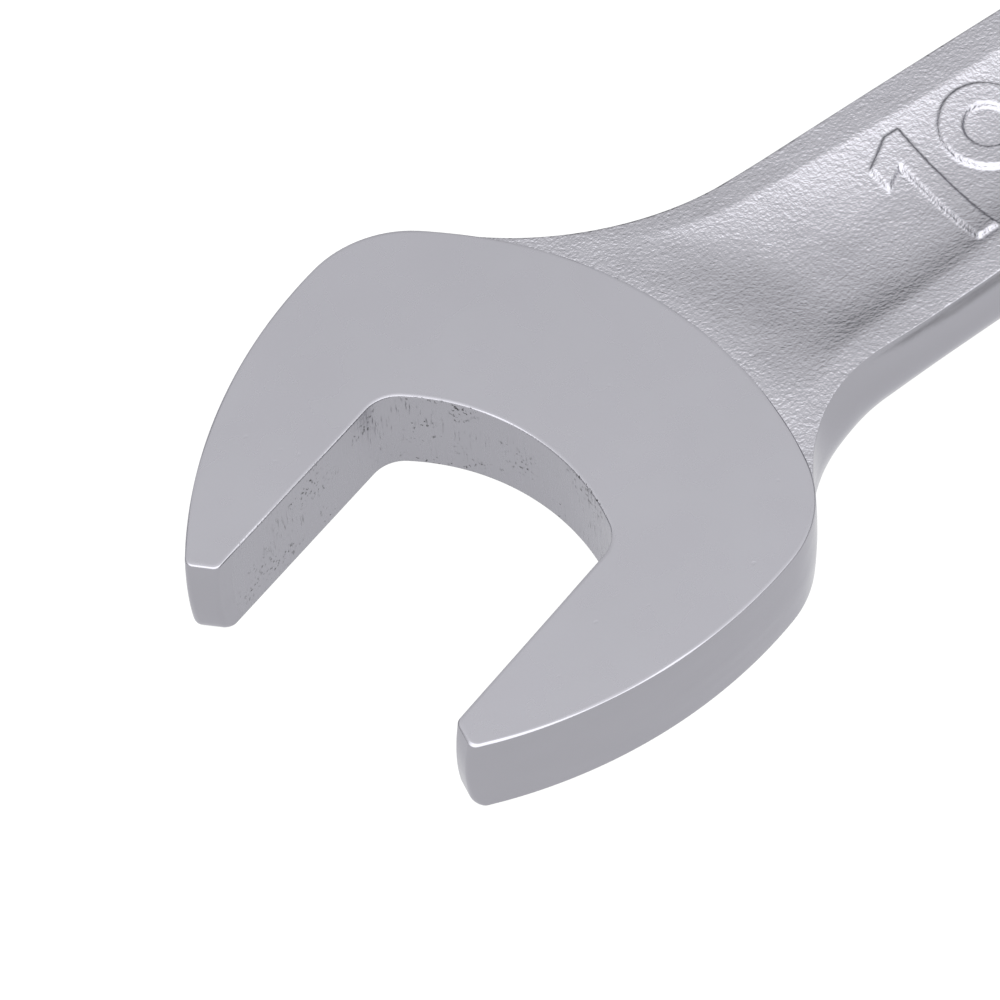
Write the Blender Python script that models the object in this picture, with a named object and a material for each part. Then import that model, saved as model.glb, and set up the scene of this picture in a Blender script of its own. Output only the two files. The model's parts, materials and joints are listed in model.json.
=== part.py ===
"""A 19 mm combination wrench: open end, dished shank and offset twelve-point ring.

The real tool is one drop forging, so the model is one solid.  Its three regions are made
apart and joined by Boolean unions: the open head, the shank with its two necks, and the
ring.  The raised size number stands in the panel of the shank.

Frame: +X runs along the shank from the open end to the ring, +Z is up, and the open head
lies flat on the plane z = 0.  The origin is under the middle of the whole tool.
"""
import math

import bmesh
import bpy
from mathutils import Matrix, Vector

MM = 0.001

# ---- driving sizes, in metres -------------------------------------------------------
LENGTH = 235.0 * MM            # from the foremost jaw tip to the far side of the ring
NUT_SIZE = 19.0 * MM           # across the flats of the nut that both ends fit
NUT_CLEARANCE = 0.1 * MM       # how much wider than the nut both openings are
HEAD_ANGLE = math.radians(15)  # the open head's axis against the shank

HEAD_THICKNESS = 7.5 * MM
THROAT_RADIUS = 15.6 * MM      # the arc at the bottom of the jaw gap, about the nut's middle
THROAT_CORNER = 2.5 * MM       # the rounding between that arc and each jaw flat
JAW_REACH = 4.1 * MM           # how far the jaws run past the nut's middle
JAW_TIP_WIDTH = 1.9 * MM       # the narrow end face of each jaw
JAW_WALL = 9.85 * MM           # metal beside the gap where the head is widest
JAW_CURVE = 35.2 * MM          # radius of the outer side of each jaw
WIDEST_AT = 17.2 * MM          # from the nut's middle to the widest place of the head
HEAD_BACK = 13.4 * MM          # metal from the bottom of the throat to the back of the head
HEAD_SHOULDER = 8.0 * MM       # rounding between the jaw's outer side and the head's back
SHANK_MEETS_AT = 14.5 * MM     # where the shank's line crosses the head's line
HEAD_CHAMFER = 0.3 * MM        # broken edge round both faces

SHANK_THICKNESS = 5.5 * MM
SHANK_WIDTH_HEAD = 17.0 * MM   # just behind the open head
SHANK_WIDTH_MID = 13.2 * MM    # along the middle
SHANK_TAPER_LENGTH = 110.0 * MM
TAPER_START = 24.0 * MM        # from the head's crossing point to the start of the taper
NECK_CURVE_LEFT = 22.0 * MM    # fillet on the +Y side
NECK_CURVE_RIGHT = 12.5 * MM   # fillet on the -Y side
SHANK_EDGE = 0.3 * MM          # broken edge along the sides of the shank
SIDE_CROWN = 1.0 * MM          # how far the sides bulge at mid height, where the dies met
RIM_WIDTH = 1.9 * MM           # flat rim at each side of the panel
PANEL_DEPTH = 0.75 * MM        # how far the panel lies below its rims
PANEL_RAMP = 2.6 * MM          # the slope from rim to panel
HEAD_BLEND = 15.0 * MM         # the shank rises to the head's faces over this distance
HEAD_LIP = 0.15 * MM           # the step that is left at the edge of the head's faces

RING_THICKNESS = 10.5 * MM
RING_WALL = 3.3 * MM           # metal outside the corners of the twelve-point opening
RING_TILT = math.radians(15)   # the ring's lift against the shank
RING_EDGE = 1.2 * MM           # rounding of the ring's outer edges
RING_LEAD_IN = 0.8 * MM        # chamfer where the nut enters
RING_NECK_CURVE = 15.0 * MM    # fillets between shank and ring
RING_NECK_THICKNESS = 8.2 * MM
RING_CLEAR = 0.05 * MM         # the ring's lowest edge above the head's lower face

DIGIT_HEIGHT = 10.4 * MM
DIGIT_STROKE = 1.8 * MM
DIGIT_RELIEF = 0.4 * MM        # how far the digits stand out of the panel
DIGITS_START = 35.0 * MM       # the upright of the first digit, from the crossing point
DIGIT_PITCH = 5.9 * MM         # from the first digit's upright to the second one's middle
DIGIT_SHIFT = 0.25 * MM        # the digits sit this far towards -Y from the shank's line

STATION_STEP = 4.0 * MM        # distance between cross sections along the shank
FINE_STEP = 1.5 * MM           # the same in the necks
ARC_STEP = math.radians(6)     # longest step along a rounded outline
RING_STEPS = 96                # steps round the ring, a multiple of the 24 corners

CHROME = (0.56, 0.56, 0.59, 1.0)
CHROME_ROUGHNESS = 0.28

# ---- sizes that follow from them ----------------------------------------------------
OPENING = NUT_SIZE + NUT_CLEARANCE
HALF_OPENING = OPENING / 2
HEAD_HALF = HEAD_THICKNESS / 2
SHANK_HALF = SHANK_THICKNESS / 2
BACK_RADIUS = THROAT_RADIUS + HEAD_BACK
HEAD_HALF_WIDTH = HALF_OPENING + JAW_WALL
CORNER_RADIUS = HALF_OPENING / math.cos(math.radians(30))
RING_RADIUS = CORNER_RADIUS + RING_WALL
RING_HALF = RING_THICKNESS / 2
RING_SOFT = RING_EDGE * (1 - math.cos(math.radians(45)))
RING_RIM = [(RING_RADIUS - RING_EDGE, RING_HALF), (RING_RADIUS - RING_SOFT, RING_HALF - RING_SOFT),
            (RING_RADIUS, RING_HALF - RING_EDGE)]    # the upper outer edge, as (radius, height)
RING_REACH = max(r * math.cos(RING_TILT) + z * math.sin(RING_TILT) for r, z in RING_RIM)
RING_DROP = max(r * math.sin(RING_TILT) + z * math.cos(RING_TILT) for r, z in RING_RIM)


def to_shank(u, v):
    """Turn a point of the head's own frame (u towards the shank) into the shank's frame."""
    du = u - SHANK_MEETS_AT
    c = math.cos(HEAD_ANGLE)
    s = math.sin(HEAD_ANGLE)
    return (du * c - v * s, du * s + v * c)


def arc(centre, radius, start, end):
    """Points of an arc from one angle to another, ends included."""
    count = max(2, math.ceil(abs(end - start) / ARC_STEP) + 1)
    points = []
    for i in range(count):
        a = start + (end - start) * i / (count - 1)
        points.append((centre[0] + radius * math.cos(a), centre[1] + radius * math.sin(a)))
    return points


def circle_meeting(c1, r1, c2, r2):
    """The point at distance r1 from c1 and r2 from c2, on the left of the line c1 to c2."""
    p1 = Vector(c1)
    line = Vector(c2) - p1
    d = line.length
    along = (r1 * r1 - r2 * r2 + d * d) / (2 * d)
    across = math.sqrt(r1 * r1 - along * along)
    line.normalize()
    left = Vector((-line.y, line.x))
    return p1 + line * along + left * across


def angle_to(centre, point):
    return math.atan2(point[1] - centre[1], point[0] - centre[0])


def shoulder_centre():
    """The middle of the rounding between a jaw's outer side and the back of the head."""
    jaw = (WIDEST_AT, HEAD_HALF_WIDTH - JAW_CURVE)
    return circle_meeting((0.0, 0.0), BACK_RADIUS - HEAD_SHOULDER, jaw, JAW_CURVE - HEAD_SHOULDER)


def half_head():
    """The +v half of the head's outline, from the throat round the jaw to the back."""
    nut = (0.0, 0.0)
    corner_v = HALF_OPENING - THROAT_CORNER
    corner_u = math.sqrt((THROAT_RADIUS - THROAT_CORNER) ** 2 - corner_v ** 2)
    corner = (corner_u, corner_v)
    points = arc(nut, THROAT_RADIUS, 0.0, angle_to(nut, corner))
    points += arc(corner, THROAT_CORNER, angle_to(nut, corner), math.pi / 2)[1:]
    points.append((-JAW_REACH, HALF_OPENING))
    jaw = (WIDEST_AT, HEAD_HALF_WIDTH - JAW_CURVE)
    tip_v = HALF_OPENING + JAW_TIP_WIDTH
    tip_u = jaw[0] - math.sqrt(JAW_CURVE ** 2 - (tip_v - jaw[1]) ** 2)
    shoulder = shoulder_centre()
    points += arc(jaw, JAW_CURVE, angle_to(jaw, (tip_u, tip_v)), angle_to(jaw, shoulder))
    points += arc(shoulder, HEAD_SHOULDER, angle_to(jaw, shoulder), angle_to(nut, shoulder))[1:]
    points += arc(nut, BACK_RADIUS, angle_to(nut, shoulder), 0.0)[1:]
    return points


def head_outline():
    """The whole outline of the open head in the shank's frame, once round."""
    upper = half_head()
    lower = [(u, -v) for u, v in reversed(upper[1:-1])]
    return [to_shank(u, v) for u, v in upper + lower]


def new_object(name, bm):
    mesh = bpy.data.meshes.new(name)
    bmesh.ops.recalc_face_normals(bm, faces=bm.faces)
    bm.to_mesh(mesh)
    bm.free()
    obj = bpy.data.objects.new(name, mesh)
    bpy.context.scene.collection.objects.link(obj)
    return obj


def prism(name, outlines, low, high):
    """A closed upright solid over one outline, less the outlines after it, which are holes."""
    bm = bmesh.new()
    edges = []
    for outline in outlines:
        verts = [bm.verts.new((x, y, low)) for x, y in outline]
        edges += [bm.edges.new((verts[i - 1], verts[i])) for i in range(len(verts))]
    base = bmesh.ops.triangle_fill(bm, edges=edges, use_beauty=True)["geom"]
    faces = [item for item in base if isinstance(item, bmesh.types.BMFace)]
    top = bmesh.ops.extrude_face_region(bm, geom=faces)["geom"]
    lifted = [v for v in top if isinstance(v, bmesh.types.BMVert)]
    bmesh.ops.translate(bm, verts=lifted, vec=(0, 0, high - low))
    return new_object(name, bm)


def make_head():
    head = prism("wrench_forging", [head_outline()], 0.0, HEAD_THICKNESS)
    edge = head.modifiers.new("broken_edges", "BEVEL")
    edge.width = HEAD_CHAMFER
    edge.segments = 1
    edge.limit_method = "ANGLE"
    edge.angle_limit = math.radians(60)
    edge.use_clamp_overlap = True
    return head


def eased(x):
    """A smooth step from 0 to 1."""
    x = min(1.0, max(0.0, x))
    return x * x * (3 - 2 * x)


def ring_centre():
    """Where the ring's middle is, from the overall length and the plane that it rests on."""
    foremost = min(x for x, y in head_outline())
    return (foremost + LENGTH - RING_REACH, 0.0, RING_DROP + RING_CLEAR)


def shank_half_width(s):
    """Half the width of the straight shank at station s, which tapers from the head."""
    narrowing = eased((s - TAPER_START) / SHANK_TAPER_LENGTH)
    return (SHANK_WIDTH_HEAD + (SHANK_WIDTH_MID - SHANK_WIDTH_HEAD) * narrowing) / 2


def flare(distance, radius):
    """How far a fillet of this radius stands out, this far before its end."""
    reach = min(max(distance, 0.0), radius * 0.98)
    return radius - math.sqrt(radius * radius - reach * reach)


def ring_neck_start():
    """The station where the fillets to the ring begin."""
    half = SHANK_WIDTH_MID / 2
    rise = half + RING_NECK_CURVE
    run = math.sqrt((RING_RADIUS + RING_NECK_CURVE) ** 2 - rise ** 2)
    return ring_centre()[0] - run


def ring_neck_end():
    """The station where the fillets touch the ring's outside."""
    x = ring_centre()[0]
    share = RING_RADIUS / (RING_RADIUS + RING_NECK_CURVE)
    return x - (x - ring_neck_start()) * share


def neck_fillet(side):
    """Where the fillet on one side leaves the straight shank, and where it touches the head.

    It touches the back of the head, or the shoulder beside it where that comes first.
    """
    radius = NECK_CURVE_LEFT if side > 0 else NECK_CURVE_RIGHT
    shoulder = shoulder_centre()
    bearing = math.atan2(shoulder.y, shoulder.x)
    for centre, reach in (((0.0, 0.0), BACK_RADIUS), ((shoulder.x, side * shoulder.y), HEAD_SHOULDER)):
        x, y = to_shank(*centre)
        across = SHANK_WIDTH_HEAD / 2 + radius - side * y
        along = math.sqrt((reach + radius) ** 2 - across ** 2)
        if math.atan2(across, along) + side * -HEAD_ANGLE < bearing:
            break
    return (x + along, x + along * reach / (reach + radius), radius)


def half_width(s, side):
    """The shank's outline at station s on the +Y side (1) or the -Y side (-1)."""
    start, contact, radius = neck_fillet(side)
    half = shank_half_width(s)
    if s < contact:
        return half
    return half + flare(start - s, radius) + flare(s - ring_neck_start(), RING_NECK_CURVE)


def middle_height(s):
    """Height of the shank's middle plane, which climbs into the tilted ring."""
    slope = math.tan(RING_TILT)
    x, _, z = ring_centre()
    join = x - RING_RADIUS * 0.7
    climb = z - (x - join) * slope - HEAD_HALF
    start = join - 2 * climb / slope
    if s <= start:
        return HEAD_HALF
    if s <= join:
        return HEAD_HALF + slope * (s - start) ** 2 / (2 * (join - start))
    return z - (x - s) * slope


def surface_half(s, y, half):
    """Half the thickness of the shank at station s and offset y, panel and blends included."""
    nut = to_shank(0.0, 0.0)
    beyond = math.hypot(s - nut[0], y - nut[1]) - BACK_RADIUS
    near_head = 1 - eased(beyond / HEAD_BLEND)
    near_ring = eased((s - ring_neck_start()) / RING_RADIUS)
    thick = SHANK_HALF + (HEAD_HALF - HEAD_LIP - SHANK_HALF) * near_head
    thick += (RING_NECK_THICKNESS / 2 - SHANK_HALF) * near_ring
    ring_fade = 1 - eased((s - ring_neck_start() + HEAD_BLEND) / HEAD_BLEND)
    inward = (half - abs(y) - RIM_WIDTH) / PANEL_RAMP
    return thick - PANEL_DEPTH * eased(inward) * (1 - near_head) * ring_fade


def side_crown(s):
    """How far the shank's sides bulge at station s; the bulge fades out at both ends."""
    from_head = s - max(neck_fillet(1)[1], neck_fillet(-1)[1])
    from_ring = ring_neck_end() - s
    return SIDE_CROWN * eased(from_head / (HEAD_BLEND / 2)) * eased(from_ring / RING_RADIUS)


def section(s):
    """One closed cross section of the shank, as points (y, z) from the +Y side upwards."""
    left = half_width(s, 1)
    right = half_width(s, -1)
    crown = side_crown(s)
    offsets = [left - SHANK_EDGE, left - RIM_WIDTH]
    inner = left - RIM_WIDTH - PANEL_RAMP / 2
    offsets += [inner, left - RIM_WIDTH - PANEL_RAMP, 0.0, PANEL_RAMP + RIM_WIDTH - right]
    offsets += [RIM_WIDTH + PANEL_RAMP / 2 - right, RIM_WIDTH - right, SHANK_EDGE - right]
    top = []
    for y in offsets:
        top.append((y, surface_half(s, y, left if y > 0 else right)))
    left_wall = surface_half(s, left, left) - SHANK_EDGE
    right_wall = surface_half(s, -right, right) - SHANK_EDGE
    upper = [(left + 0.75 * crown, left_wall / 2), (left, left_wall)] + top
    upper += [(-right, right_wall), (-right - 0.75 * crown, right_wall / 2)]
    lower = [(y, -z) for y, z in reversed(upper)]
    loop = [(left + crown, 0.0)] + upper + [(-right - crown, 0.0)] + lower
    return [(y, middle_height(s) + z) for y, z in loop]


def stations():
    """Where the shank's cross sections lie, close together in the two necks."""
    contacts = [neck_fillet(1)[1], neck_fillet(-1)[1]]
    start = min(contacts) - 2 * FINE_STEP
    fine_end = TAPER_START + HEAD_BLEND / 2
    neck = ring_neck_start() - HEAD_BLEND
    end = ring_neck_end()
    places = []
    for low, high, step in ((start, fine_end, FINE_STEP), (fine_end, neck, STATION_STEP),
                            (neck, end, FINE_STEP)):
        count = max(1, round((high - low) / step))
        places += [low + (high - low) * i / count for i in range(count)]
    return sorted(places + contacts + [end])


def make_shank():
    bm = bmesh.new()
    loops = []
    for s in stations():
        loops.append([bm.verts.new((s, y, z)) for y, z in section(s)])
    for before, after in zip(loops, loops[1:]):
        for i in range(len(before)):
            j = (i + 1) % len(before)
            bm.faces.new((before[i], before[j], after[j], after[i]))
    for s, loop in ((stations()[0], loops[0]), (stations()[-1], loops[-1])):
        hub = bm.verts.new((s, 0.0, middle_height(s)))
        for i, vert in enumerate(loop):
            bm.faces.new((vert, loop[(i + 1) % len(loop)], hub))
    bmesh.ops.triangulate(bm, faces=bm.faces)
    return new_object("shank", bm)


def twelve_point_radius(a):
    """Distance from the ring's axis to the wall of its twelve-point opening."""
    sector = math.radians(30)
    off = abs((a + sector / 2) % sector - sector / 2)
    return HALF_OPENING / math.cos(sector - off)


def turned(name, profile):
    """A closed solid about the ring's axis, from its loops' radii and heights, bottom to top.

    A radius of None follows the wall of the twelve-point opening.
    """
    bm = bmesh.new()
    loops = []
    for radius, z in profile:
        loop = []
        for i in range(RING_STEPS):
            a = 2 * math.pi * i / RING_STEPS
            r = twelve_point_radius(a) if radius is None else radius
            loop.append(bm.verts.new((r * math.cos(a), r * math.sin(a), z)))
        loops.append(loop)
    for before, after in zip(loops, loops[1:]):
        for i in range(RING_STEPS):
            j = (i + 1) % RING_STEPS
            bm.faces.new((before[i], before[j], after[j], after[i]))
    bm.faces.new(loops[0])
    bm.faces.new(loops[-1])
    bmesh.ops.triangulate(bm, faces=bm.faces)
    solid = new_object(name, bm)
    tilt = Matrix.Rotation(-RING_TILT, 4, "Y")
    solid.data.transform(Matrix.Translation(ring_centre()) @ tilt)
    return solid


def make_ring():
    """The ring without its opening, rounded along both outer edges."""
    return turned("ring", [(r, -z) for r, z in RING_RIM] + RING_RIM[::-1])


def make_ring_opening():
    """The twelve-point hole with its lead-in chamfers, which runs out past both faces."""
    wide = CORNER_RADIUS + RING_LEAD_IN * 1.5
    side = [(None, RING_HALF - RING_LEAD_IN), (wide, RING_HALF + RING_LEAD_IN)]
    return turned("ring_opening", [(r, -z) for r, z in side[::-1]] + side)


def digit_place(across, up):
    """A point of the number, from the first digit's foot: across it, and up towards +Y."""
    return (DIGITS_START + across, up - DIGIT_HEIGHT / 2 - DIGIT_SHIFT)


def digit_one():
    half = DIGIT_STROKE / 2
    outline = [(-half, 0.0), (half, 0.0), (half, DIGIT_HEIGHT), (-half * 0.4, DIGIT_HEIGHT),
               (-DIGIT_STROKE * 1.5, DIGIT_HEIGHT - DIGIT_STROKE * 0.75),
               (-DIGIT_STROKE * 1.5, DIGIT_HEIGHT - DIGIT_STROKE * 1.9),
               (-half, DIGIT_HEIGHT - DIGIT_STROKE * 1.35)]
    return [[digit_place(a, u) for a, u in outline]]


def digit_nine():
    """A bowl with its tail running down from the bowl's right side, and the bowl's hole."""
    bowl = DIGIT_HEIGHT * 0.33
    centre = (DIGIT_PITCH, DIGIT_HEIGHT - bowl)
    tail = DIGIT_HEIGHT - bowl
    hub = (centre[0] + bowl - tail, centre[1])
    end = -math.radians(62)
    fork = circle_meeting(centre, bowl, hub, tail - DIGIT_STROKE)
    outline = arc(hub, tail, 0.0, end)
    outline += arc(hub, tail - DIGIT_STROKE, end, angle_to(hub, fork))
    outline += arc(centre, bowl, angle_to(centre, fork), -2 * math.pi)[1:-1]
    hole = arc(centre, bowl - DIGIT_STROKE, 0.0, 2 * math.pi)[:-1]
    return [[digit_place(a, u) for a, u in points] for points in (outline, hole)]


def make_digits():
    """The raised number, one solid for each digit, rooted below the panel."""
    panel = HEAD_HALF + SHANK_HALF - PANEL_DEPTH
    root = panel - 2 * DIGIT_RELIEF
    digits = []
    for name, outlines in (("digit_one", digit_one()), ("digit_nine", digit_nine())):
        digits.append(prism(name, outlines, root, panel + DIGIT_RELIEF))
    return digits


def combine(body, other, label, operation="UNION"):
    """Join another solid to the body or cut it away, and leave it as a hidden guide."""
    join = body.modifiers.new(label, "BOOLEAN")
    join.operation = operation
    join.solver = "EXACT"
    join.object = other
    other.hide_render = True
    other.display_type = "WIRE"


def polished_chrome():
    material = bpy.data.materials.new("satin_chrome")
    material.use_nodes = True
    shader = material.node_tree.nodes["Principled BSDF"]
    shader.inputs["Base Color"].default_value = CHROME
    shader.inputs["Metallic"].default_value = 1.0
    shader.inputs["Roughness"].default_value = CHROME_ROUGHNESS
    return material


def centre_on_base(body):
    """Bring the middle of the tool's plan over the origin."""
    bpy.context.view_layer.update()
    shape = body.evaluated_get(bpy.context.evaluated_depsgraph_get()).to_mesh()
    xs = [v.co.x for v in shape.vertices]
    ys = [v.co.y for v in shape.vertices]
    shift = Vector((-(min(xs) + max(xs)) / 2, -(min(ys) + max(ys)) / 2, 0.0))
    for obj in bpy.data.objects:
        obj.location = shift


def main():
    for obj in list(bpy.data.objects):
        bpy.data.objects.remove(obj)
    body = make_head()
    shank = make_shank()
    for digit in make_digits():
        combine(shank, digit, digit.name)
    combine(body, shank, "shank")
    combine(body, make_ring(), "ring")
    combine(body, make_ring_opening(), "ring_opening", "DIFFERENCE")
    body.data.materials.append(polished_chrome())
    body.data.shade_smooth()
    body.data.set_sharp_from_angle(angle=math.radians(30))
    centre_on_base(body)


main()
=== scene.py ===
"""The looks of the 19 mm combination wrench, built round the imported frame."""
import json
import math

import bpy
import numpy as np
from mathutils import Matrix, Vector, noise


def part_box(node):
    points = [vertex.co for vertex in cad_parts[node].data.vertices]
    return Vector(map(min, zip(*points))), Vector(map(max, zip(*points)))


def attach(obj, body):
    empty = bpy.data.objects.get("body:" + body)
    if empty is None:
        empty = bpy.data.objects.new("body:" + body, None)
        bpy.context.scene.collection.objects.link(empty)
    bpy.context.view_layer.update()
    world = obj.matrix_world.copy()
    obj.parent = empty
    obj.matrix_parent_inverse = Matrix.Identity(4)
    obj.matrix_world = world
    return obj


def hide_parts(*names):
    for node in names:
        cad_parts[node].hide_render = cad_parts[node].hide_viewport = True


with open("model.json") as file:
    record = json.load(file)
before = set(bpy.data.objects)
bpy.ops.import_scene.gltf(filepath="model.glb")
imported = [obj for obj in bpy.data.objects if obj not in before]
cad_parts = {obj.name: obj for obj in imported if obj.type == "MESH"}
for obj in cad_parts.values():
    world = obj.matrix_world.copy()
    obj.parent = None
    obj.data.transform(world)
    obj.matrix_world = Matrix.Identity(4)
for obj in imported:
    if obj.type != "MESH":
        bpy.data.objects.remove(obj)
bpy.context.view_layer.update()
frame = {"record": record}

MM = 0.001
NODE = "wrench_forging"

# ---- sizes that the CAD model is built from, in millimetres ----------------------------
HEAD_ANGLE = math.radians(15)
HEAD_THICKNESS = 7.5
THROAT_RADIUS = 15.6
THROAT_CORNER = 2.5
JAW_REACH = 4.1
JAW_TIP_WIDTH = 1.9
JAW_WALL = 9.85
JAW_CURVE = 35.2
WIDEST_AT = 17.2
HEAD_BACK = 13.4
HEAD_SHOULDER = 8.0
SHANK_MEETS_AT = 14.5
FLAT_MOUNT_AT = 3.5            # where the jaw flats' mounts lie along the head's axis
SHANK_THICKNESS = 5.5
SHANK_WIDTH_HEAD = 17.0
SHANK_WIDTH_MID = 13.2
SHANK_TAPER_LENGTH = 110.0
TAPER_START = 24.0
NECK_CURVE_LEFT = 22.0
NECK_CURVE_RIGHT = 12.5
SIDE_CROWN = 1.0
RIM_WIDTH = 1.9
HEAD_BLEND = 15.0
RING_THICKNESS = 10.5
RING_WALL = 3.3
RING_TILT = math.radians(15)
RING_EDGE = 1.2
RING_LEAD_IN = 0.8
RING_NECK_CURVE = 15.0
RING_NECK_THICKNESS = 8.2
RING_CLEAR = 0.05
DIGIT_HEIGHT = 10.4
DIGIT_STROKE = 1.8
DIGITS_START = 35.0
DIGIT_PITCH = 5.9
DIGIT_SHIFT = 0.25

# ---- finer shapes that only the looks need, in millimetres -----------------------------
FACE_CHAMFER = 0.12            # broken edge round the upper face
GAP_CHAMFER = 0.09             # the same inside the jaw gap
# rows of the broken edge, in chamfers: how far in from the side, how far below the face
CHAMFER_ROWS = ((1.12, 0.0), (0.9, 0.04), (0.18, 0.78), (0.03, 1.05), (0.0, 1.35))
FACE_MARGIN = 0.15             # a last ring of points on the upper face, inside its edge
UNDER_MARGIN = 0.05            # the same on the lower face
UNDER_ROUND = 0.30             # softer edge round the lower face
SIDE_BULGE = 0.12              # how far the polished sides of the head are crowned
SIDE_ROWS = 28                 # rows of points down the sides of the head
WEAR_LEVEL = 0.75              # usual size of the upper chamfer, as a share of its full size
WEAR_SWING = 0.9               # how much that share wanders along the edge
WEAR_LENGTH = 5.0              # over about this distance
WEAR_LIMITS = (0.45, 1.25)
TIP_ROUND = 0.60               # rounding of the jaw tips in plan
TIP_RUN = 1.5                  # the jaw flats' evenly spaced points stop this far from the tip
TIP_UNDER_INSET = 0.8          # how far the tips draw in underneath
TIP_UNDER_HEIGHT = 1.3         # and from what height
TIP_CROWN = 0.40               # how far the tips are crowned at mid height
GRID = 0.13                    # mesh spacing where the number stands and round the neck
GRID_FAR = 0.4                 # mesh spacing along the rest of the shank
GRID_MARGIN = 5.0              # the fine mesh runs this far past the second digit's middle
EDGE_ROUND = 0.03              # rounding between the shank's rims and its sides
EDGE_CORNER = EDGE_ROUND * (1 - math.cos(math.radians(45)))
WALL_ROWS = 19                 # rows of points down each side of the shank
SHANK_ROOT = 2.0               # how far each end of the shank runs into the head and the ring
PANEL_DEPTH = 0.9              # how far the panel lies below its rims
PANEL_RISE = 9.0               # the panel falls away from the head over this distance
PANEL_CURVE_LEFT = 2.0         # how soon the dish levels out, from the +Y rim
PANEL_CURVE_RIGHT = 3.2        # and from the -Y rim
CREASE_LEFT = 0.06             # rounding between rim and panel on the +Y side
CREASE_RIGHT = 0.45            # and on the -Y side
RIM_GROWTH = 0.05              # the rims widen by this much for each millimetre of shank
RIM_LIMITS = (1.2, 2.6)
LIP = 0.17                     # the step from the head's faces down to the shank
LIP_DEEPER = 0.23              # how much deeper it gets towards the -Y side
LIP_START = 6.0                # from this far off the shank's line
LIP_RUN = 7.0                  # over this distance
LIP_CALM = 1.5                 # the blasted texture grows in over this distance from the lip
DIGIT_RELIEF = 0.36            # how far the digits stand out of the panel
DIGIT_BOWL = 0.33              # outer radius of the nine's loop, as a share of its height
DIGIT_TAIL = math.radians(62)  # how far round the nine's tail runs
DIGIT_FOOT = 0.20              # where the digits' slopes start, inside their outline
DIGIT_SLOPE = 0.28             # width of those slopes
LUMP_SIZE = (2.3, 2.0)         # slow unevenness of the skin: lengths along and across
LUMP_HEIGHT = 0.020
GRAIN_SIZE = (0.75, 0.6)       # finer unevenness
GRAIN_HEIGHT = 0.010
UNDERSIDE_SHIFT = 300.0        # the underside's unevenness is taken this far away
FLARE_LIMIT = 0.98             # how much of a neck fillet's radius is used at most
BEND_REACH = 0.7               # the shank is straight again this many ring radii from its middle
WALL_DEPTH = 0.6               # the shank ends this far out in the ring's wall, as a share of it
RING_STEPS = 24 * 20           # points once round the ring
RING_RIM_ROWS = 8              # steps round its outer edges
MOUTH_MARGINS = (0.30, 0.04)   # rings of points on its faces, outside the mouth
MOUTH_START = 0.02             # the mouth's first points lie this far below the face
RING_MOUTH_ROWS = 12           # rows of points down each mouth of the opening
RING_MOUTH_REACH = 1.7         # how deep those rows go, in lead-ins
RING_LEAD_ANGLE = math.radians(40)
RING_SHARP = math.radians(25)  # edges of the ring that are steeper than this stay sharp


# ---- where things are, from the frame --------------------------------------------------
def place_from_frame():
    """The nut's middle, the head's axis and the opening, from the two jaw flats' mounts."""
    mounts = {m["name"]: m for m in frame["record"]["mounts"]}
    left = Vector(mounts["left_jaw_flat"]["pos_m"]) / MM
    right = Vector(mounts["right_jaw_flat"]["pos_m"]) / MM
    across = (left - right).normalized()
    along = Vector((across.y, -across.x, 0.0))
    middle = (left + right) / 2
    crossing = middle + along * (SHANK_MEETS_AT - FLAT_MOUNT_AT)
    return crossing, (left - right).length


CROSSING, OPENING = place_from_frame()
HALF_OPENING = OPENING / 2
HEAD_HALF = HEAD_THICKNESS / 2
SHANK_HALF = SHANK_THICKNESS / 2
BACK_RADIUS = THROAT_RADIUS + HEAD_BACK
HEAD_HALF_WIDTH = HALF_OPENING + JAW_WALL
CORNER_RADIUS = HALF_OPENING / math.cos(math.radians(30))
RING_RADIUS = CORNER_RADIUS + RING_WALL
RING_HALF = RING_THICKNESS / 2


def ring_rim(steps):
    """The ring's upper outer edge as (radius, height), from the face round to the side."""
    points = []
    for i in range(steps + 1):
        a = math.pi / 2 * (1 - i / steps)
        points.append((RING_RADIUS - RING_EDGE * (1 - math.cos(a)),
                       RING_HALF - RING_EDGE * (1 - math.sin(a))))
    return points


RING_REACH = max(r * math.cos(RING_TILT) + z * math.sin(RING_TILT) for r, z in ring_rim(2))
RING_MIDDLE = CORNER_RADIUS + RING_WALL * WALL_DEPTH
RING_DROP = max(r * math.sin(RING_TILT) + z * math.cos(RING_TILT) for r, z in ring_rim(2))
RING_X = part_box(NODE)[1][0] / MM - CROSSING.x - RING_REACH
RING_Z = RING_DROP + RING_CLEAR


def to_shank(u, v):
    """Turn a point of the head's own frame (u towards the shank) into the shank's frame."""
    du = u - SHANK_MEETS_AT
    c = math.cos(HEAD_ANGLE)
    s = math.sin(HEAD_ANGLE)
    return (du * c - v * s, du * s + v * c)


NUT = to_shank(0.0, 0.0)


# ---- small geometry helpers ------------------------------------------------------------
def arc(centre, radius, start, end, count):
    """Points of an arc from one angle to another, ends included."""
    points = []
    for i in range(count):
        a = start + (end - start) * i / (count - 1)
        points.append((centre[0] + radius * math.cos(a), centre[1] + radius * math.sin(a)))
    return points


def circle_meeting(c1, r1, c2, r2):
    """The point at distance r1 from c1 and r2 from c2, on the left of the line c1 to c2."""
    p1 = Vector(c1)
    line = Vector(c2) - p1
    d = line.length
    along = (r1 * r1 - r2 * r2 + d * d) / (2 * d)
    across = math.sqrt(r1 * r1 - along * along)
    line.normalize()
    return p1 + line * along + Vector((-line.y, line.x)) * across


def angle_to(centre, point):
    """The direction from a centre to a point."""
    return math.atan2(point[1] - centre[1], point[0] - centre[0])


def eased(x):
    """A smooth step from 0 to 1, on numbers or arrays."""
    x = np.clip(x, 0.0, 1.0)
    return x * x * (3 - 2 * x)


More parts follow.
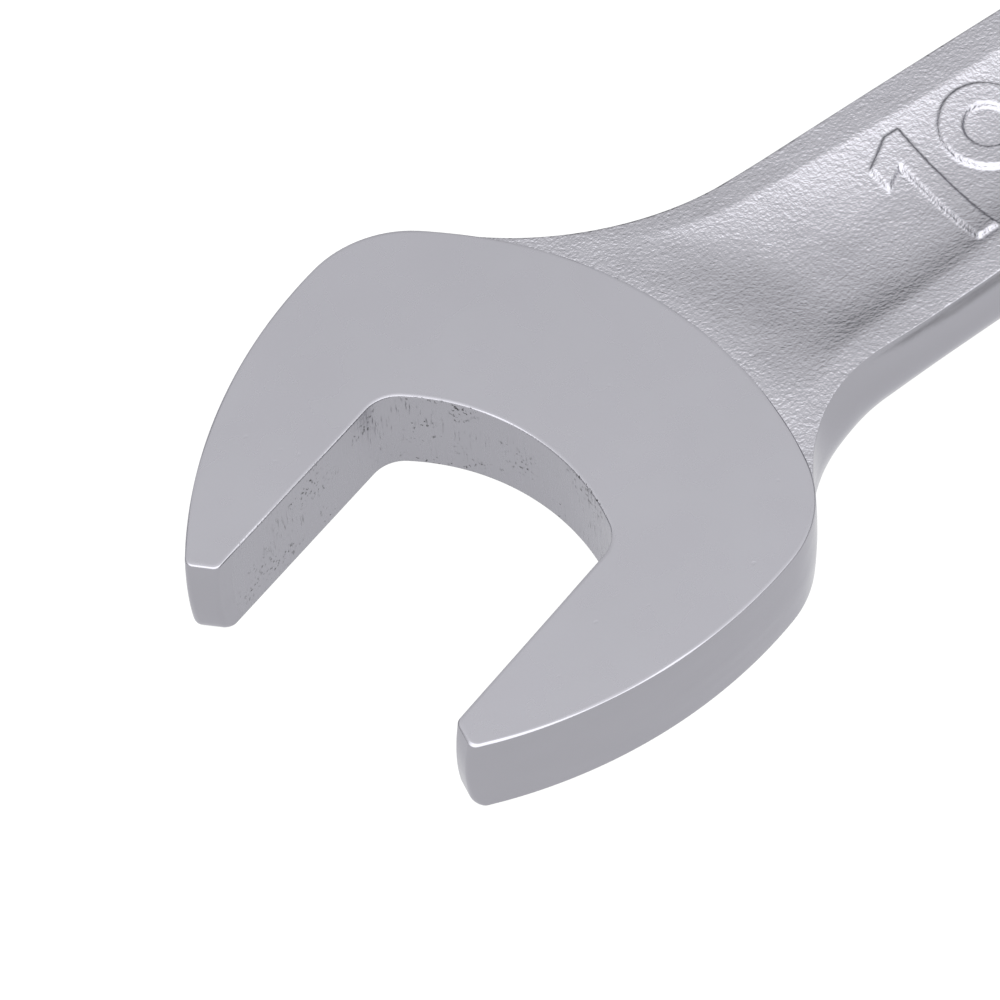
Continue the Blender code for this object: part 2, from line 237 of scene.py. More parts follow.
def rounded(before, corner, after, radius, count=10):
    """The points of a fillet at one corner of an outline."""
    a = (Vector(before) - Vector(corner)).normalized()
    b = (Vector(after) - Vector(corner)).normalized()
    half = a.angle(b) / 2
    centre = Vector(corner) + (a + b).normalized() * radius / math.sin(half)
    a0 = angle_to(centre, Vector(corner) + a * radius / math.tan(half))
    a1 = angle_to(centre, Vector(corner) + b * radius / math.tan(half))
    turn = (a1 - a0 + math.pi) % (2 * math.pi) - math.pi
    return arc(centre, radius, a0, a0 + turn, count)


def mesh_object(name, verts, faces, materials):
    """A new smooth mesh object, its points given in the shank's frame in millimetres."""
    mesh = bpy.data.meshes.new(name)
    points = np.asarray(verts, dtype=np.float64) + np.array([CROSSING.x, CROSSING.y, 0.0])
    mesh.from_pydata((points * MM).tolist(), [], faces)
    for material in materials:
        mesh.materials.append(material)
    mesh.shade_smooth()
    obj = bpy.data.objects.new(name, mesh)
    bpy.context.scene.collection.objects.link(obj)
    return obj


# ---- the open head ---------------------------------------------------------------------
def shoulder_centre():
    """The middle of the rounding between a jaw's outer side and the head's back."""
    jaw = (WIDEST_AT, HEAD_HALF_WIDTH - JAW_CURVE)
    return circle_meeting((0.0, 0.0), BACK_RADIUS - HEAD_SHOULDER, jaw, JAW_CURVE - HEAD_SHOULDER)


def half_head(inset, tip_inset, gap_inset):
    """The +v half of the outline, drawn in by insets: the gap's points and the outer ones."""
    nut = (0.0, 0.0)
    flat = HALF_OPENING + gap_inset
    corner_v = HALF_OPENING - THROAT_CORNER
    corner = (math.sqrt((THROAT_RADIUS - THROAT_CORNER) ** 2 - corner_v ** 2), corner_v)
    bearing = angle_to(nut, corner)
    gap = arc(nut, THROAT_RADIUS + gap_inset, 0.0, bearing, 28)
    gap += arc(corner, THROAT_CORNER + gap_inset, bearing, math.pi / 2, 11)[1:]
    tip = (-JAW_REACH + tip_inset, flat)
    run = corner[0] - tip[0] - TIP_RUN
    gap += [(corner[0] - run * i / 23, flat) for i in range(1, 24)]
    jaw = (WIDEST_AT, HEAD_HALF_WIDTH - JAW_CURVE)
    radius = JAW_CURVE - inset
    tip_v = HALF_OPENING + JAW_TIP_WIDTH - inset / 2 + tip_inset / 2
    tip_u = jaw[0] - math.sqrt(radius ** 2 - (tip_v - jaw[1]) ** 2)
    shoulder = shoulder_centre()
    side = arc(jaw, radius, angle_to(jaw, (tip_u, tip_v)), angle_to(jaw, shoulder), 44)
    nose = rounded(gap[-1], tip, (tip_u, tip_v), TIP_ROUND)
    nose += rounded(tip, (tip_u, tip_v), side[3], TIP_ROUND)
    outer = nose + side[3:]
    outer += arc(shoulder, HEAD_SHOULDER - inset, angle_to(jaw, shoulder),
                 angle_to(nut, shoulder), 16)[1:]
    outer += arc(nut, BACK_RADIUS - inset, angle_to(nut, shoulder), 0.0, 30)[1:]
    return gap, outer


def head_outline(inset=0.0, tip_inset=0.0, gap_inset=0.0):
    """The outline once round as an array, and a mask of the points that line the gap."""
    gap, outer = half_head(inset, tip_inset, gap_inset)
    upper = gap + outer
    points = upper + [(u, -v) for u, v in reversed(upper[1:-1])]
    inner = [True] * len(gap) + [False] * len(outer)
    inner += inner[1:-1][::-1]
    return np.array([to_shank(u, v) for u, v in points]), np.array(inner)


def head_levels():
    """The edge profile from face to face: inset of the sides, tips and gap, and height."""
    c = FACE_CHAMFER
    top = HEAD_THICKNESS
    levels = [(c + FACE_MARGIN, c + FACE_MARGIN, c + FACE_MARGIN, top)]
    for out, drop in CHAMFER_ROWS:
        levels.append((c * out, c * out, GAP_CHAMFER * out, top - c * drop))
    start = top - c * CHAMFER_ROWS[-1][1]
    for i in range(1, SIDE_ROWS + 1):
        z = start * (1 - eased(i / SIDE_ROWS))
        height = (z - start / 2) / (start / 2)
        crown = 1 - height * height
        side = UNDER_ROUND * (1 - math.sqrt(1 - (1 - min(z / UNDER_ROUND, 1.0)) ** 2))
        rise = 1 - min(z / TIP_UNDER_HEIGHT, 1.0)
        tip = TIP_UNDER_INSET * (1 - math.sqrt(1 - rise * rise)) - TIP_CROWN * crown
        gap = GAP_CHAMFER * max(0.0, 1 - z / GAP_CHAMFER)
        levels.append((side - SIDE_BULGE * crown, tip, gap, z))
    levels.append((UNDER_ROUND + UNDER_MARGIN, TIP_UNDER_INSET + UNDER_MARGIN,
                   GAP_CHAMFER + UNDER_MARGIN, 0.0))
    return levels


def make_head(face, wall, gap_wall):
    """The open head, one ring of points for each level between its faces."""
    levels = head_levels()
    plain, inner = head_outline()
    wear = np.array([[WEAR_LEVEL + WEAR_SWING
                      * noise.noise(Vector((x / WEAR_LENGTH, y / WEAR_LENGTH, 3.3)))]
                     for x, y in plain])
    verts = []
    for row, (inset, tip_inset, gap_inset, z) in enumerate(levels):
        outline, inner = head_outline(inset, tip_inset, gap_inset)
        if 0 < row <= len(CHAMFER_ROWS):
            outline = plain + (outline - plain) * np.clip(wear, *WEAR_LIMITS)
        verts += [(x, y, z) for x, y in outline]
    count = len(inner)
    faces = [list(range(count))]
    slots = [0]
    for row in range(len(levels) - 1):
        for i in range(count):
            j = (i + 1) % count
            a = row * count
            faces.append([a + i, a + count + i, a + count + j, a + j])
            slots.append(0 if row < 1 else (2 if inner[i] and inner[j] else 1))
    last = (len(levels) - 1) * count
    faces.append(list(range(last + count - 1, last - 1, -1)))
    slots.append(0)
    head = mesh_object("open_head", verts, faces, [face, wall, gap_wall])
    head.data.polygons.foreach_set("material_index", slots)
    return head


# ---- the shank -------------------------------------------------------------------------
def neck_fillet(side):
    """Where a neck fillet leaves the shank, where it touches the head, and its radius."""
    radius = NECK_CURVE_LEFT if side > 0 else NECK_CURVE_RIGHT
    shoulder = shoulder_centre()
    bearing = math.atan2(shoulder.y, shoulder.x)
    for centre, reach in (((0.0, 0.0), BACK_RADIUS),
                          ((shoulder.x, side * shoulder.y), HEAD_SHOULDER)):
        x, y = to_shank(*centre)
        across = SHANK_WIDTH_HEAD / 2 + radius - side * y
        along = math.sqrt((reach + radius) ** 2 - across ** 2)
        if math.atan2(across, along) - side * HEAD_ANGLE < bearing:
            break
    return (x + along, x + along * reach / (reach + radius), radius)


def flare(distance, radius):
    """How far a fillet of this radius stands out, this far before its end."""
    reach = np.clip(distance, 0.0, radius * FLARE_LIMIT)
    return radius - np.sqrt(radius * radius - reach * reach)


RING_NECK_START = RING_X - math.sqrt((RING_RADIUS + RING_NECK_CURVE) ** 2
                                     - (SHANK_WIDTH_MID / 2 + RING_NECK_CURVE) ** 2)
RING_NECK_END = RING_X - ((RING_X - RING_NECK_START) * RING_RADIUS
                          / (RING_RADIUS + RING_NECK_CURVE))
SHANK_END = RING_NECK_END + SHANK_ROOT


def half_width(s, side):
    """The shank's outline at stations s, on the +Y side (1) or the -Y side (-1)."""
    narrowing = eased((s - TAPER_START) / SHANK_TAPER_LENGTH)
    half = (SHANK_WIDTH_HEAD + (SHANK_WIDTH_MID - SHANK_WIDTH_HEAD) * narrowing) / 2
    start, contact, radius = neck_fillet(side)
    near_ring = np.minimum(s, RING_NECK_END) - RING_NECK_START
    wide = half + flare(start - s, radius) + flare(near_ring, RING_NECK_CURVE)
    return np.where(s < contact, half, wide)


def middle_height(s):
    """Height of the shank's middle plane, which climbs into the tilted ring."""
    slope = math.tan(RING_TILT)
    join = RING_X - RING_RADIUS * BEND_REACH
    climb = RING_Z - (RING_X - join) * slope - HEAD_HALF
    start = join - 2 * climb / slope
    bend = HEAD_HALF + slope * np.clip(s - start, 0.0, join - start) ** 2 / (2 * (join - start))
    return bend + slope * np.clip(s - join, 0.0, None)


def polygon_distance(x, y, outline):
    """Signed distance to a closed outline, negative inside."""
    best = np.full(x.shape, 1e9)
    inside = np.zeros(x.shape, dtype=bool)
    for (x0, y0), (x1, y1) in zip(outline, outline[1:] + outline[:1]):
        dx = x1 - x0
        dy = y1 - y0
        t = np.clip(((x - x0) * dx + (y - y0) * dy) / (dx * dx + dy * dy), 0.0, 1.0)
        best = np.minimum(best, np.hypot(x - x0 - t * dx, y - y0 - t * dy))
        crosses = (y0 > y) != (y1 > y)
        with np.errstate(divide="ignore", invalid="ignore"):
            inside ^= crosses & (x < (y - y0) * dx / (dy if dy else 1e-9) + x0)
    return np.where(inside, -best, best)


def number_distance(s, y):
    """Signed distance to the raised 19 at stations s and offsets y, negative inside."""
    across = s - DIGITS_START
    up = y + DIGIT_HEIGHT / 2 + DIGIT_SHIFT
    half = DIGIT_STROKE / 2
    one = [(-half, 0.0), (half, 0.0), (half, DIGIT_HEIGHT), (-half * 0.4, DIGIT_HEIGHT),
           (-DIGIT_STROKE * 1.5, DIGIT_HEIGHT - DIGIT_STROKE * 0.75),
           (-DIGIT_STROKE * 1.5, DIGIT_HEIGHT - DIGIT_STROKE * 1.9),
           (-half, DIGIT_HEIGHT - DIGIT_STROKE * 1.35)]
    first = polygon_distance(across, up, one)
    bowl = DIGIT_HEIGHT * DIGIT_BOWL
    centre = (DIGIT_PITCH, DIGIT_HEIGHT - bowl)
    ring = np.abs(np.hypot(across - centre[0], up - centre[1]) - bowl + half) - half
    tail = DIGIT_HEIGHT - bowl
    hub = (centre[0] + bowl - tail, centre[1])
    middle = tail - half
    angle = np.clip(np.arctan2(up - hub[1], across - hub[0]), -DIGIT_TAIL, 0.0)
    stroke = np.hypot(across - hub[0] - middle * np.cos(angle),
                      up - hub[1] - middle * np.sin(angle)) - half
    return np.minimum(first, np.minimum(ring, stroke))


def surface_half(s, y, half, crease):
    """Half the shank's thickness, with its dished panel and the rise to both ends."""
    beyond = np.hypot(s - NUT[0], y - NUT[1]) - BACK_RADIUS
    near_head = 1 - eased(beyond / HEAD_BLEND)
    near_ring = eased((s - RING_NECK_START) / RING_RADIUS)
    lip = LIP + LIP_DEEPER * eased((-y - LIP_START) / LIP_RUN)
    thick = SHANK_HALF + (HEAD_HALF - lip - SHANK_HALF) * near_head
    thick = thick + (RING_NECK_THICKNESS / 2 - SHANK_HALF) * near_ring
    ring_fade = 1 - eased((s - RING_NECK_START + HEAD_BLEND) / HEAD_BLEND)
    rim = np.clip(RIM_WIDTH + RIM_GROWTH * (s - TAPER_START), *RIM_LIMITS)
    panel = half - rim
    inward = half - np.abs(y) - rim
    inward = (inward + np.sqrt(inward * inward + crease * crease)) / 2
    curve = np.where(y > 0, PANEL_CURVE_LEFT, PANEL_CURVE_RIGHT)
    dish = 1 - (1 - np.clip(inward / panel, 0.0, 1.0)) ** curve
    return thick - PANEL_DEPTH * dish * eased(beyond / PANEL_RISE) * ring_fade


def shank_stations():
    """Where the shank's cross sections stand, close together as far as the number."""
    contacts = sorted((neck_fillet(1)[1], neck_fillet(-1)[1]))
    start = contacts[0] - SHANK_ROOT
    fine_end = DIGITS_START + DIGIT_PITCH + GRID_MARGIN
    near = np.linspace(start, fine_end, int((fine_end - start) / GRID))
    far = np.linspace(fine_end, SHANK_END, int((SHANK_END - fine_end) / GRID_FAR))
    return np.unique(np.concatenate([near, contacts, far[1:]]))


def waviness(s, y):
    """The slow unevenness of a forged, blasted surface."""
    lump = noise.noise(Vector((s / LUMP_SIZE[0], y / LUMP_SIZE[1], 1.7)))
    fine = noise.noise(Vector((s / GRAIN_SIZE[0], y / GRAIN_SIZE[1], 7.1)))
    return LUMP_HEIGHT * lump + GRAIN_HEIGHT * fine


def drawn_back(s, y, half):
    """Stations drawn back near the ring, so that the shank ends inside the ring's wall."""
    last = half_width(SHANK_END, 1) * y / half
    end = np.minimum(SHANK_END, RING_X - np.sqrt(np.clip(RING_MIDDLE ** 2 - last ** 2, 0, None)))
    share = np.clip((s - RING_NECK_START) / (SHANK_END - RING_NECK_START), 0.0, 1.0)
    return s + (end - SHANK_END) * share


def make_shank(textured, side_wall):
    """The shank as cross sections: upper side, -Y side, underside, +Y side, once round."""
    s = shank_stations()[:, None]
    left = half_width(s, 1)
    right = half_width(s, -1)
    count = int((SHANK_WIDTH_HEAD - 2 * EDGE_ROUND) / GRID)
    share = np.linspace(0.0, 1.0, count)[None, :]
    y = (left - EDGE_ROUND) * (1 - share) - (right - EDGE_ROUND) * share
    half = np.where(y > 0, left, right)
    crease = np.where(y > 0, CREASE_LEFT, CREASE_RIGHT)
    x = drawn_back(s, y, half)
    flat = surface_half(x, y, half, crease)
    slope = (number_distance(s + 0 * y, y) + DIGIT_FOOT) / DIGIT_SLOPE
    raised = DIGIT_RELIEF * (1 - eased(slope))
    rough = np.array([[waviness(a, b) for b in row] for a, row in zip(s[:, 0], y)])
    under = np.array([[waviness(a + UNDERSIDE_SHIFT, b) for b in row]
                      for a, row in zip(s[:, 0], y)])
    beyond = np.hypot(s - NUT[0], y - NUT[1]) - BACK_RADIUS
    calm = eased(beyond / LIP_CALM)
    top = flat + raised + rough * calm
    bottom = -(flat + under * calm)
    from_head = s - max(neck_fillet(1)[1], neck_fillet(-1)[1])
    crown = (SIDE_CROWN * eased(from_head / (HEAD_BLEND / 2))
             * eased((RING_NECK_END - s) / RING_RADIUS))
    corner = EDGE_CORNER
    level = np.linspace(1.0, -1.0, WALL_ROWS)[None, :]
    wall_left = surface_half(s, left, left, CREASE_LEFT) - EDGE_ROUND
    wall_right = surface_half(s, -right, right, CREASE_RIGHT) - EDGE_ROUND
    bulge = crown * (1 - level ** 2)
    columns = [(y, top),
               (-right + corner, wall_right + EDGE_ROUND - corner),
               (-right - bulge, wall_right * level),
               (-right + corner, -wall_right - EDGE_ROUND + corner),
               (y[:, ::-1], bottom[:, ::-1]),
               (left - corner, -wall_left - EDGE_ROUND + corner),
               (left + bulge, -wall_left * level),
               (left - corner, wall_left + EDGE_ROUND - corner)]
    ys = np.concatenate([c[0] + 0 * s for c in columns], axis=1)
    rows, width = ys.shape
    side = WALL_ROWS + 2
    walls = np.repeat(s, side, axis=1)
    xs = np.concatenate([x, walls, x[:, ::-1], walls], axis=1)
    zs = np.concatenate([c[1] + 0 * s for c in columns], axis=1) + middle_height(xs)
    verts = np.stack([xs, ys, zs], axis=2).reshape(-1, 3)
    index = np.arange(rows * width).reshape(rows, width)
    after = np.roll(index, -1, axis=1)
    quads = np.stack([index[:-1], index[1:], after[1:], after[:-1]], axis=2).reshape(-1, 4)
    faces = quads.tolist() + [index[0].tolist(), index[-1][::-1].tolist()]
    column = np.arange(width)
    first = (column >= count) & (column < count + side - 1)
    second = column >= count + side + count
    slots = np.tile((first | second).astype(int), rows - 1).tolist() + [0, 0]
    shank = mesh_object("shank", verts, faces, [textured, side_wall])
    shank.data.polygons.foreach_set("material_index", slots)
    return shank


# ---- the ring --------------------------------------------------------------------------
def twelve_point_radius(a):
    """Distance from the ring's axis to the wall of its twelve-point opening."""
    sector = math.radians(30)
    off = abs((a + sector / 2) % sector - sector / 2)
    return HALF_OPENING / math.cos(sector - off)


def make_ring(face, wall, gap_wall):
    """The ring: a profile turned once round, with the twelve points in its inner rows."""
    steps = RING_STEPS
    rim = ring_rim(RING_RIM_ROWS)
    profile = [(r, z, 1) for r, z in rim] + [(r, -z, 1) for r, z in rim[::-1]]
    mouth = CORNER_RADIUS + RING_LEAD_IN / 2
    profile += [(mouth + margin, -RING_HALF, 0) for margin in MOUTH_MARGINS]
    depths = [MOUTH_START + RING_LEAD_IN * RING_MOUTH_REACH * i / (RING_MOUTH_ROWS - 1)
              for i in range(RING_MOUTH_ROWS)]
    inner = [(None, -RING_HALF + d, 2) for d in depths]
    inner += [(None, RING_HALF - d, 2) for d in depths[::-1]]
    profile += inner + [(mouth + margin, RING_HALF, 0) for margin in MOUTH_MARGINS[::-1]]
    verts = []
    for radius, z, _ in profile:
        cone = mouth - (RING_HALF - abs(z)) * math.tan(RING_LEAD_ANGLE)
        for i in range(steps):
            a = 2 * math.pi * i / steps
            r = max(twelve_point_radius(a), cone) if radius is None else radius
            verts.append((r * math.cos(a), r * math.sin(a), z))
    faces = []
    slots = []
    rows = len(profile)
    for row in range(rows):
        below = (row + 1) % rows
        for i in range(steps):
            j = (i + 1) % steps
            faces.append([row * steps + i, below * steps + i, below * steps + j, row * steps + j])
            flat = profile[row][2] != profile[below][2] or profile[row][2] == 0
            slots.append(0 if flat else profile[row][2])
    turn = np.array(Matrix.Rotation(-RING_TILT, 3, "Y"))
    placed = np.array(verts) @ turn.T + np.array([RING_X, 0.0, RING_Z])
    ring = mesh_object("ring", placed, faces, [face, wall, gap_wall])
    ring.data.polygons.foreach_set("material_index", slots)
    ring.data.set_sharp_from_angle(angle=RING_SHARP)
    return ring


# ---- materials -------------------------------------------------------------------------
def node(tree, kind, **values):
    """Add a node; values set its properties, or its inputs where the name is one."""
    made = tree.nodes.new(kind)
    for key, value in values.items():
        if hasattr(made, key):
            setattr(made, key, value)
        else:
            made.inputs[key.replace("_", " ").title()].default_value = value
    return made


def ramp(tree, source, stops):
    """A grey ramp over a value; stops are (place, grey)."""
    made = tree.nodes.new("ShaderNodeValToRGB")
    made.color_ramp.elements[0].position = stops[0][0]
    made.color_ramp.elements[1].position = stops[-1][0]
    for place, _ in stops[1:-1]:
        made.color_ramp.elements.new(place)
    for element, (_, grey) in zip(made.color_ramp.elements, stops):
        element.color = (grey, grey, grey, 1.0)
    tree.links.new(source, made.inputs["Fac"])
    return made.outputs["Color"]


def stretched(tree, scale):
    """Object coordinates in millimetres, divided by the given feature sizes."""
    place = tree.nodes.new("ShaderNodeTexCoord")
    mapping = tree.nodes.new("ShaderNodeMapping")
    mapping.inputs["Scale"].default_value = [1 / (MM * size) for size in scale]
    tree.links.new(place.outputs["Object"], mapping.inputs["Vector"])
    return mapping.outputs["Vector"]


def grain(tree, scale, detail=2.0, rough=0.5):
    """Noise whose features have the given sizes in millimetres."""
    texture = node(tree, "ShaderNodeTexNoise", Scale=1.0, Detail=detail, Roughness=rough)
    tree.links.new(stretched(tree, scale), texture.inputs["Vector"])
    return texture.outputs["Fac"]


def bump(tree, height, distance, under=None):
    """Relief of the given height in millimetres, on top of another where one is given."""
    made = node(tree, "ShaderNodeBump", Strength=1.0, Distance=distance * MM)
    tree.links.new(height, made.inputs["Height"])
    if under is not None:
        tree.links.new(under, made.inputs["Normal"])
    return made.outputs["Normal"]


def tinted(tree, factor, low, high):
    """A colour between two, by a factor."""
    made = tree.nodes.new("ShaderNodeMix")
    made.data_type = "RGBA"
    made.inputs[6].default_value = (*low, 1.0)
    made.inputs[7].default_value = (*high, 1.0)
    tree.links.new(factor, made.inputs[0])
    return made.outputs[2]


def scaled(tree, value, low, high, start=0.0):
    """Stretch a value from the range start to 1 onto another range."""
    made = tree.nodes.new("ShaderNodeMapRange")
    made.inputs["From Min"].default_value = start
    made.inputs["To Min"].default_value = low
    made.inputs["To Max"].default_value = high
    tree.links.new(value, made.inputs["Value"])
    return made.outputs["Result"]


def combined(tree, operation, first, second):
    """Two values put through one operation."""
    made = node(tree, "ShaderNodeMath", operation=operation)
    tree.links.new(first, made.inputs[0])
    tree.links.new(second, made.inputs[1])
    return made.outputs[0]


CHROME_LOW = (0.312, 0.309, 0.336)     # the plating, between two shades
CHROME_HIGH = (0.332, 0.329, 0.358)
SKIN_HIGH = (0.362, 0.359, 0.388)      # its lighter shade on the blasted skin
PIT_COLOUR = (0.06, 0.06, 0.06)        # bare dark metal where the plating is thin
EDGE_TINT = (0.86, 0.86, 0.88, 1.0)    # keeps the plating from brightening at a low angle
FACE_ROUGHNESS = (0.24, 0.31)
SIDE_ROUGHNESS = (0.16, 0.26)
GAP_ROUGHNESS = (0.22, 0.34)
SKIN_ROUGHNESS = (0.17, 0.30)
# relief heights, in millimetres
FACE_RELIEF = 0.0006
FACE_PITS = -0.005
SIDE_RIPPLE = 0.05
SIDE_RELIEF = 0.0015
GAP_MARKS = 0.018
GAP_PITS = -0.05
SKIN_PEEL = 0.078
SKIN_RELIEF = 0.011


def chrome(name):
    """A metallic Principled material, and its node tree and shader."""
    material = bpy.data.materials.new(name)
    material.use_nodes = True
    tree = material.node_tree
    shader = tree.nodes["Principled BSDF"]
    shader.inputs["Metallic"].default_value = 1.0
    shader.inputs["Specular Tint"].default_value = EDGE_TINT
    return material, tree, shader


def ground_face():
    """The flat, finely polished faces: almost even, with a few tiny pits."""
    material, tree, shader = chrome("ground_face_chrome")
    cloud = grain(tree, (9.0, 9.0, 9.0), 3.0)
    tree.links.new(tinted(tree, cloud, CHROME_LOW, CHROME_HIGH), shader.inputs["Base Color"])
    tree.links.new(scaled(tree, grain(tree, (3.0, 3.0, 3.0), 4.0), *FACE_ROUGHNESS),
                   shader.inputs["Roughness"])
    pits = ramp(tree, grain(tree, (0.55, 0.55, 0.55), 0.0), [(0.84, 0.0), (0.90, 1.0)])
    fine = grain(tree, (0.16, 0.16, 0.16), 2.0)
    soft = bump(tree, fine, FACE_RELIEF)
    tree.links.new(bump(tree, pits, FACE_PITS, under=soft), shader.inputs["Normal"])
    return material


def smooth_side():
    """The polished sides, with the slight ripple that a belt leaves."""
    material, tree, shader = chrome("smooth_side_chrome")
    cloud = grain(tree, (6.0, 6.0, 3.0), 3.0)
    tree.links.new(tinted(tree, cloud, CHROME_LOW, CHROME_HIGH), shader.inputs["Base Color"])
    tree.links.new(scaled(tree, grain(tree, (2.0, 2.0, 2.0), 4.0), *SIDE_ROUGHNESS),
                   shader.inputs["Roughness"])
    ripple = bump(tree, grain(tree, (5.0, 5.0, 2.2), 1.0), SIDE_RIPPLE)
    tree.links.new(bump(tree, grain(tree, (0.3, 0.3, 0.3), 3.0), SIDE_RELIEF, under=ripple),
                   shader.inputs["Normal"])
    return material


def broached_wall():
    """The walls of both openings: upright cutter marks, with pits where the plating is thin."""
    material, tree, shader = chrome("broached_wall_chrome")
    where = ramp(tree, grain(tree, (3.2, 3.2, 2.2), 2.0), [(0.53, 0.0), (0.66, 1.0)])
    spots = ramp(tree, grain(tree, (0.24, 0.24, 0.30), 2.0), [(0.60, 0.0), (0.68, 1.0)])
    streaks = ramp(tree, grain(tree, (0.13, 0.13, 1.3), 2.0), [(0.60, 0.0), (0.74, 0.5)])
    along = ramp(tree, grain(tree, (4.5, 4.5, 3.5), 2.0), [(0.52, 0.0), (0.64, 1.0)])
    pits = combined(tree, "MAXIMUM", combined(tree, "MULTIPLY", where, spots),
                    combined(tree, "MULTIPLY", along, streaks))
    tree.links.new(tinted(tree, pits, CHROME_HIGH, PIT_COLOUR), shader.inputs["Base Color"])
    tree.links.new(scaled(tree, grain(tree, (0.3, 0.3, 4.0), 3.0), *GAP_ROUGHNESS),
                   shader.inputs["Roughness"])
    marks = bump(tree, grain(tree, (0.20, 0.20, 6.0), 3.0), GAP_MARKS)
    tree.links.new(bump(tree, pits, GAP_PITS, under=marks), shader.inputs["Normal"])
    return material


def blasted_skin():
    """The plated forging skin: bright orange peel."""
    material, tree, shader = chrome("blasted_forging_chrome")
    cloud = grain(tree, (2.5, 2.5, 2.5), 3.0)
    tree.links.new(tinted(tree, cloud, CHROME_LOW, SKIN_HIGH), shader.inputs["Base Color"])
    tree.links.new(scaled(tree, grain(tree, (1.2, 1.2, 1.2), 3.0), *SKIN_ROUGHNESS),
                   shader.inputs["Roughness"])
    peel = bump(tree, grain(tree, (0.27, 0.24, 0.27), 2.5, 0.55), SKIN_PEEL)
    tree.links.new(bump(tree, grain(tree, (0.15, 0.15, 0.15), 1.0), SKIN_RELIEF, under=peel),
                   shader.inputs["Normal"])
    return material


# ---- floor, light and camera -----------------------------------------------------------
CAMERA_AZIMUTH = math.radians(-138.42) + HEAD_ANGLE
CAMERA_ELEVATION = math.radians(56.05)
CAMERA_ROLL = math.radians(-4.79)
CAMERA_DISTANCE = 305.03       # from the nut's middle, along the view
CAMERA_ASIDE = (-7.775, -6.251)   # the nut's middle from the view's middle: right, up
CAMERA_LENS = 175.17
CAMERA_SENSOR = 36.0
FLOOR_HALF = 3.0               # metres
FLOOR_GREY = (0.08, 0.08, 0.08, 1.0)
FLOOR_GLOW = 0.92              # the table is lit from inside
# sky brightness by direction: 0 is opposite the brightest place, 1 is at it
SKY_GLOW = ((0.0, 0.30), (0.50, 0.34), (0.60, 0.36), (0.70, 0.47), (0.77, 0.66), (0.88, 0.85),
            (1.0, 0.85))
SKY_STRENGTH = 3.75
SKY_AWAY = [(0.72, 1.0), (0.88, 0.80), (0.98, 0.50)]    # dimmer straight across from the camera
SKY_LOW = [(0.0, 0.10), (0.12, 0.30), (0.25, 1.0)]      # and dimmer close to the horizon
BACKDROP = 1.0                 # the plain white that the camera itself sees


def make_camera():
    """The camera, placed from the nut's middle on the head's upper face."""
    toward = Vector((math.cos(CAMERA_ELEVATION) * math.cos(CAMERA_AZIMUTH),
                     math.cos(CAMERA_ELEVATION) * math.sin(CAMERA_AZIMUTH),
                     math.sin(CAMERA_ELEVATION)))
    level = Vector((-math.sin(CAMERA_AZIMUTH), math.cos(CAMERA_AZIMUTH), 0.0))
    raised = toward.cross(level)
    right = level * math.cos(CAMERA_ROLL) + raised * math.sin(CAMERA_ROLL)
    up = raised * math.cos(CAMERA_ROLL) - level * math.sin(CAMERA_ROLL)
    nut = Vector((NUT[0] + CROSSING.x, NUT[1] + CROSSING.y, HEAD_THICKNESS))
    place = nut + toward * CAMERA_DISTANCE - right * CAMERA_ASIDE[0] - up * CAMERA_ASIDE[1]
    data = bpy.data.cameras.new("camera")
    data.sensor_width = CAMERA_SENSOR
    data.lens = CAMERA_LENS
    data.clip_start = 0.005
    data.clip_end = 20.0
    camera = bpy.data.objects.new("camera", data)
    camera.matrix_world = Matrix((
        (right.x, up.x, toward.x, place.x * MM), (right.y, up.y, toward.y, place.y * MM),
        (right.z, up.z, toward.z, place.z * MM), (0.0, 0.0, 0.0, 1.0)))
    bpy.context.scene.collection.objects.link(camera)
    bpy.context.scene.camera = camera


def make_floor():
    """A plain white light table under the tool."""
    size = FLOOR_HALF
    corners = [(-size, -size, 0.0), (size, -size, 0.0), (size, size, 0.0), (-size, size, 0.0)]
    mesh = bpy.data.meshes.new("floor")
    mesh.from_pydata(corners, [], [(0, 1, 2, 3)])
    material = bpy.data.materials.new("white_table")
    material.use_nodes = True
    shader = material.node_tree.nodes["Principled BSDF"]
    shader.inputs["Base Color"].default_value = FLOOR_GREY
    shader.inputs["Roughness"].default_value = 0.9
    shader.inputs["Emission Color"].default_value = (1.0, 1.0, 1.0, 1.0)
    shader.inputs["Emission Strength"].default_value = FLOOR_GLOW
    mesh.materials.append(material)
    floor = bpy.data.objects.new("floor", mesh)
    bpy.context.scene.collection.objects.link(floor)


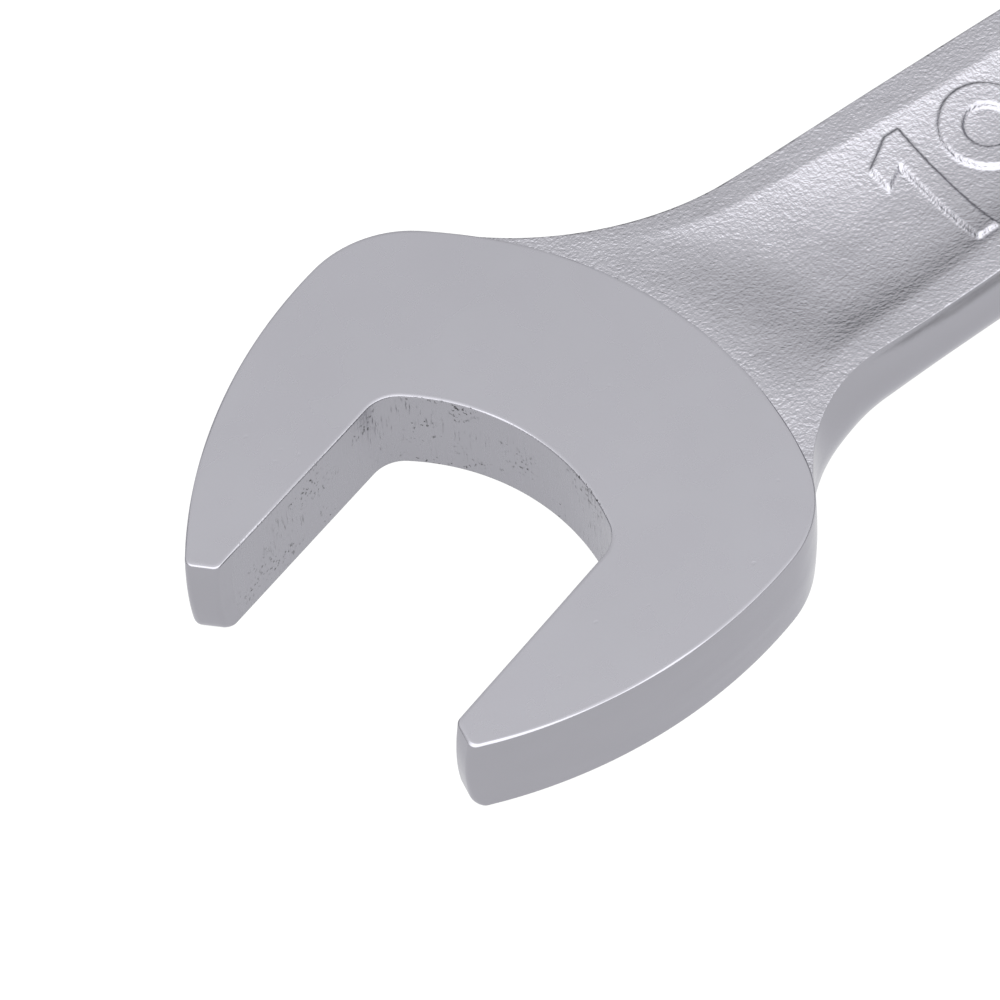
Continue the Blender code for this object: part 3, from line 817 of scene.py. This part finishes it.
def make_light():
    """A soft sky, brightest behind and above the camera and dim along the horizon."""
    world = bpy.data.worlds.new("studio")
    bpy.context.scene.world = world
    world.use_nodes = True
    tree = world.node_tree
    background = tree.nodes["Background"]
    background.inputs["Color"].default_value = (1.0, 1.0, 1.0, 1.0)
    place = tree.nodes.new("ShaderNodeTexCoord")
    key = Vector((math.cos(CAMERA_AZIMUTH), math.sin(CAMERA_AZIMUTH), 1.0)).normalized()
    toward = node(tree, "ShaderNodeVectorMath", operation="DOT_PRODUCT")
    toward.inputs[1].default_value = key
    tree.links.new(place.outputs["Generated"], toward.inputs[0])
    glow = node(tree, "ShaderNodeFloatCurve")
    points = glow.mapping.curves[0].points
    points[0].location = SKY_GLOW[0]
    points[1].location = SKY_GLOW[-1]
    for at, level in SKY_GLOW[1:-1]:
        points.new(at, level)
    tree.links.new(scaled(tree, toward.outputs["Value"], 0.0, 1.0, -1.0), glow.inputs["Value"])
    away = node(tree, "ShaderNodeVectorMath", operation="DOT_PRODUCT")
    away.inputs[1].default_value = (-math.cos(CAMERA_AZIMUTH), -math.sin(CAMERA_AZIMUTH), 0.0)
    tree.links.new(place.outputs["Generated"], away.inputs[0])
    horizon = ramp(tree, away.outputs["Value"], SKY_AWAY)
    height = tree.nodes.new("ShaderNodeSeparateXYZ")
    tree.links.new(place.outputs["Generated"], height.inputs[0])
    low = ramp(tree, height.outputs["Z"], SKY_LOW)
    dimmed = combined(tree, "MULTIPLY", low, horizon)
    product = combined(tree, "MULTIPLY", glow.outputs["Value"], dimmed)
    strength = node(tree, "ShaderNodeMath", operation="MULTIPLY")
    strength.inputs[1].default_value = SKY_STRENGTH
    tree.links.new(product, strength.inputs[0])
    ray = tree.nodes.new("ShaderNodeLightPath")
    seen = tree.nodes.new("ShaderNodeMix")
    seen.inputs[3].default_value = BACKDROP
    tree.links.new(ray.outputs["Is Camera Ray"], seen.inputs[0])
    tree.links.new(strength.outputs[0], seen.inputs[2])
    tree.links.new(seen.outputs[0], background.inputs["Strength"])
    view = bpy.context.scene.view_settings
    view.view_transform = "Standard"
    view.look = "None"


def main():
    """Build everything, put each piece under its body, and hide the CAD part that it replaces."""
    make_camera()
    make_floor()
    make_light()
    face = ground_face()
    side = smooth_side()
    gap_wall = broached_wall()
    skin = blasted_skin()
    for piece in (make_head(face, side, gap_wall), make_shank(skin, side),
                  make_ring(face, side, gap_wall)):
        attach(piece, "root")
        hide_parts(NODE)


main()
